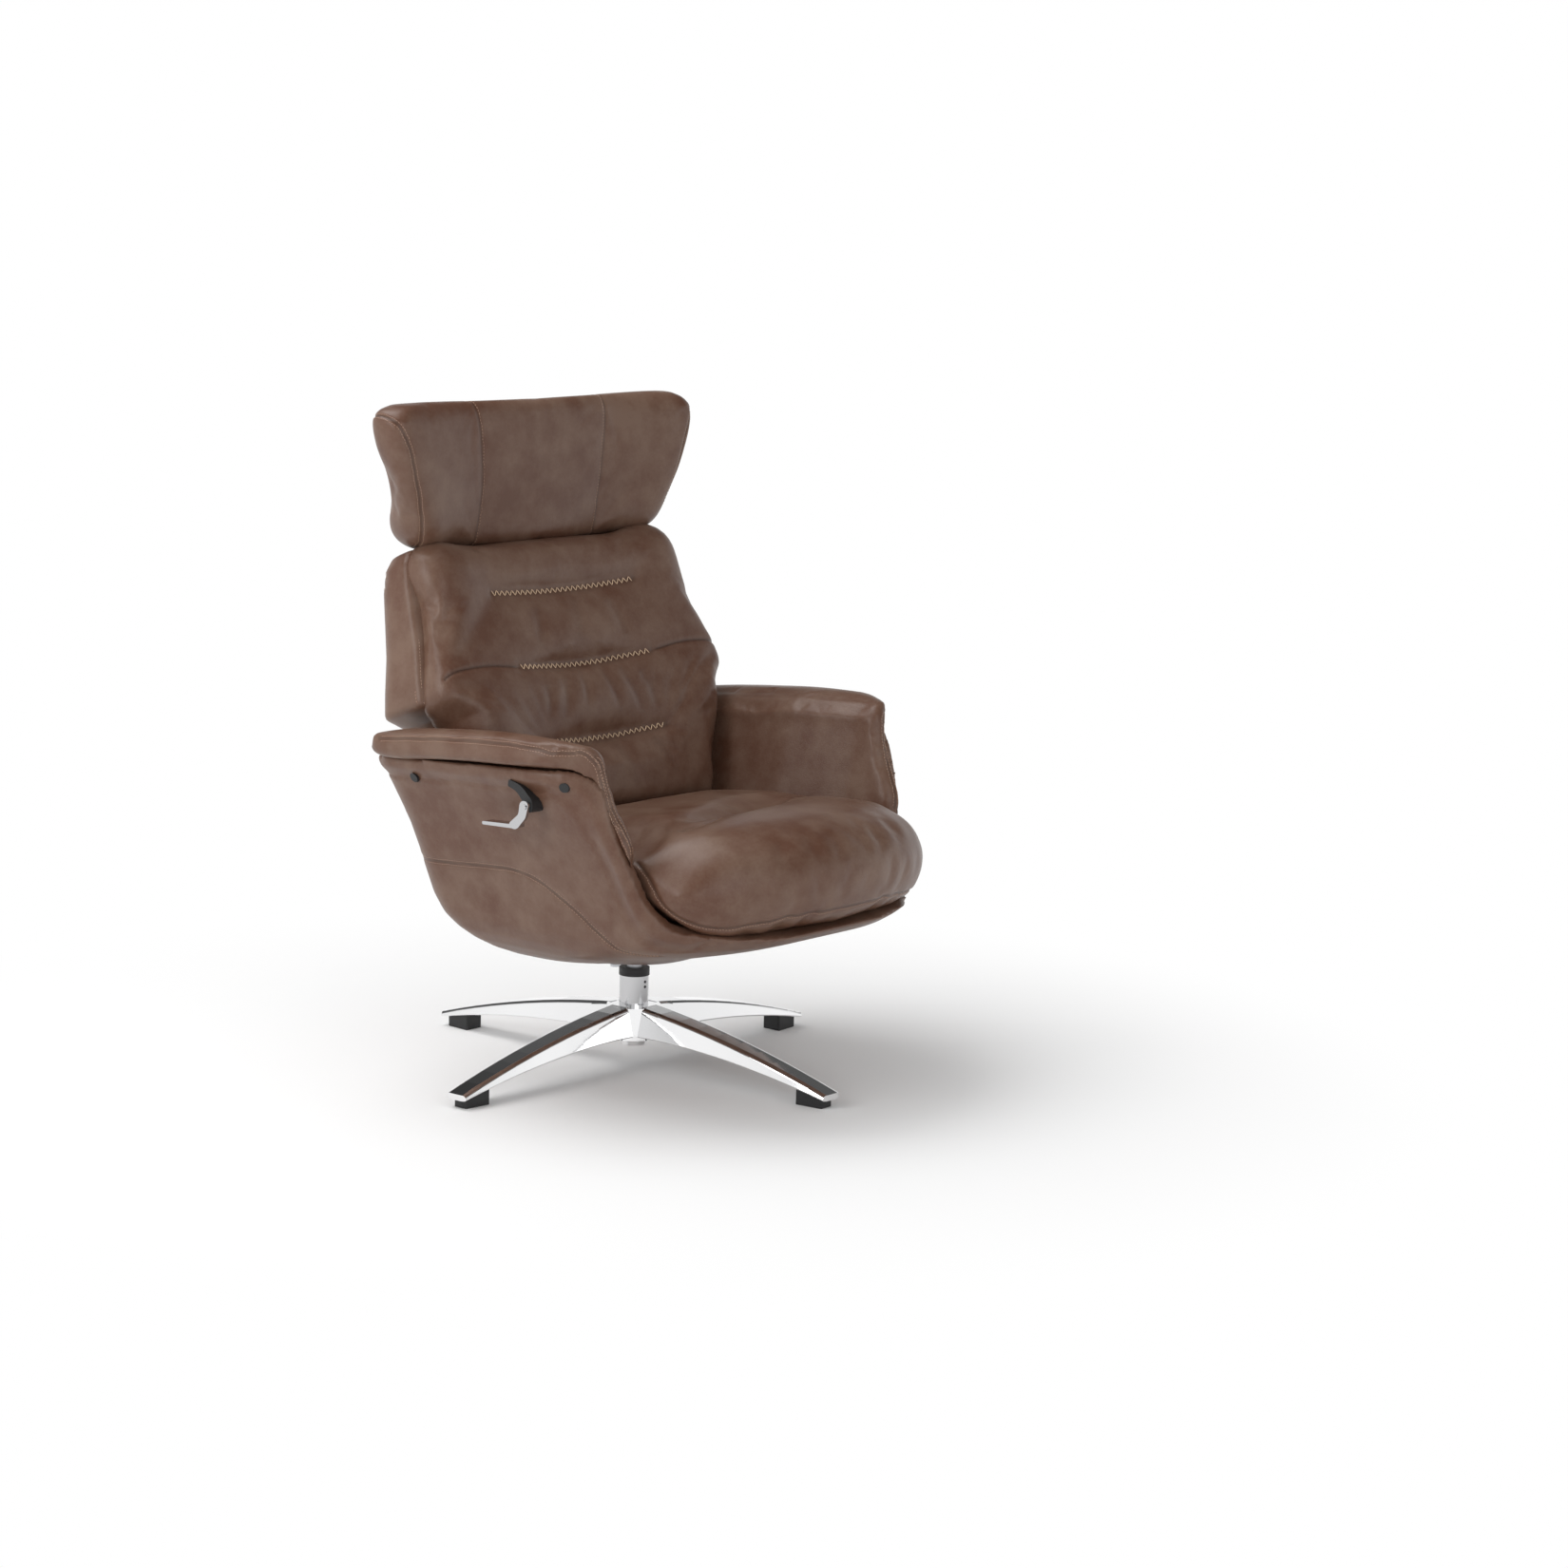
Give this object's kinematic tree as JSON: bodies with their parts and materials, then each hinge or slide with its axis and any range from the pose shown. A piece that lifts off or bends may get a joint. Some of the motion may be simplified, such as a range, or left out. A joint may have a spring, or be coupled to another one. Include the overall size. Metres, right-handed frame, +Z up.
{
  "type": "swivel recliner",
  "caption": "Leather-covered swivel lounge recliner: a shell tub with padded arms, reclining tufted back and raising headrest on a polished star base.",
  "frame": {"origin": "on the floor, on the vertical swivel axis, midway between the ends of the base arms", "axes": "+Z up; the sitter faces -Y; +X is the sitter's left, so the release lever is on the -X side"},
  "size_m": [0.8, 0.8452, 1.034],
  "materials": {
    "leather": "semi-aniline leather, mottled brown",
    "polished_aluminium": "polished",
    "bright_steel": "polished",
    "satin_steel": "satin",
    "black_steel": "satin black",
    "black_plastic": "matt",
    "bush_plastic": "matt",
    "plywood": "raw"
  },
  "bodies": {
    "base": {"star_base": "polished_aluminium", "glide_left": "black_plastic", "glide_rear": "black_plastic", "glide_right": "black_plastic", "glide_front": "black_plastic", "glide_screws": "satin_steel", "column_sleeve": "bright_steel", "lower_bush": "bush_plastic", "upper_bush": "bush_plastic", "thrust_washer": "bush_plastic", "column_collar": "black_plastic", "sleeve_set_screws": "black_steel"},
    "tub": {"swivel_post": "satin_steel", "post_clip": "black_steel", "post_washer": "satin_steel", "mounting_plate": "black_steel", "plate_bolts": "satin_steel", "chassis_frame": "black_steel", "slide_rail_left": "satin_steel", "slide_rail_right": "satin_steel", "pivot_bracket_left": "black_steel", "pivot_bracket_right": "black_steel", "pivot_pin_left": "satin_steel", "pivot_pin_right": "satin_steel", "gas_spring_cylinder": "black_steel", "gas_spring_bracket": "black_steel", "tub_shell": "leather", "arm_pad_left": "leather", "arm_pad_right": "leather", "arm_bolts": "satin_steel", "arm_bolt_caps": "black_plastic", "lever_housing": "black_plastic", "lever_pin": "bright_steel"},
    "lever": {"recline_lever": "bright_steel"},
    "seat": {"seat_pan": "plywood", "seat_runner_left": "bush_plastic", "seat_runner_right": "bush_plastic", "seat_drive_plate_left": "black_steel", "seat_drive_plate_right": "black_steel", "gas_spring_rod": "bright_steel", "gas_spring_anchor": "black_steel", "seat_cushion": "leather"},
    "back": {"back_frame": "black_steel", "drive_pin_left": "satin_steel", "drive_pin_right": "satin_steel", "back_board": "plywood", "back_cushion": "leather", "back_cover": "leather", "headrest_guide_left": "satin_steel", "headrest_guide_right": "satin_steel"},
    "headrest_slide": {"headrest_carrier": "satin_steel", "headrest_hinge_pin": "satin_steel"},
    "headrest": {"headrest_core": "black_steel", "headrest_cushion": "leather"}
  },
  "joints": [
    {"name": "swivel", "type": "hinge", "parent": "base", "child": "tub", "pos_m": [0, 0, 0], "axis": [0, 0, 1], "continuous": true},
    {"name": "recline", "type": "hinge", "parent": "tub", "child": "back", "pos_m": [0, 0.075, 0.332], "axis": [-1, 0, 0], "range_deg": [0, 25]},
    {"name": "seat_glide", "type": "slide", "parent": "tub", "child": "seat", "axis": [0, -1, 0], "range_m": [0, 0.0304]},
    {"name": "headrest_height", "type": "slide", "parent": "back", "child": "headrest_slide", "axis": [0, 0.3584, 0.9336], "range_m": [0, 0.07]},
    {"name": "headrest_tilt", "type": "hinge", "parent": "headrest_slide", "child": "headrest", "pos_m": [0, 0.258, 0.85], "axis": [1, 0, 0], "range_deg": [-10, 20]},
    {"name": "lever_pull", "type": "hinge", "parent": "tub", "child": "lever", "pos_m": [0, -0.121, 0.471], "axis": [1, 0, 0], "range_deg": [0, 20], "stiffness_Nm_per_rad": 0.4, "springref_deg": -22.92}
  ],
  "couplings": [
    {"joint": "seat_glide", "follows": "recline", "m_per_rad": 0.069443}
  ]
}
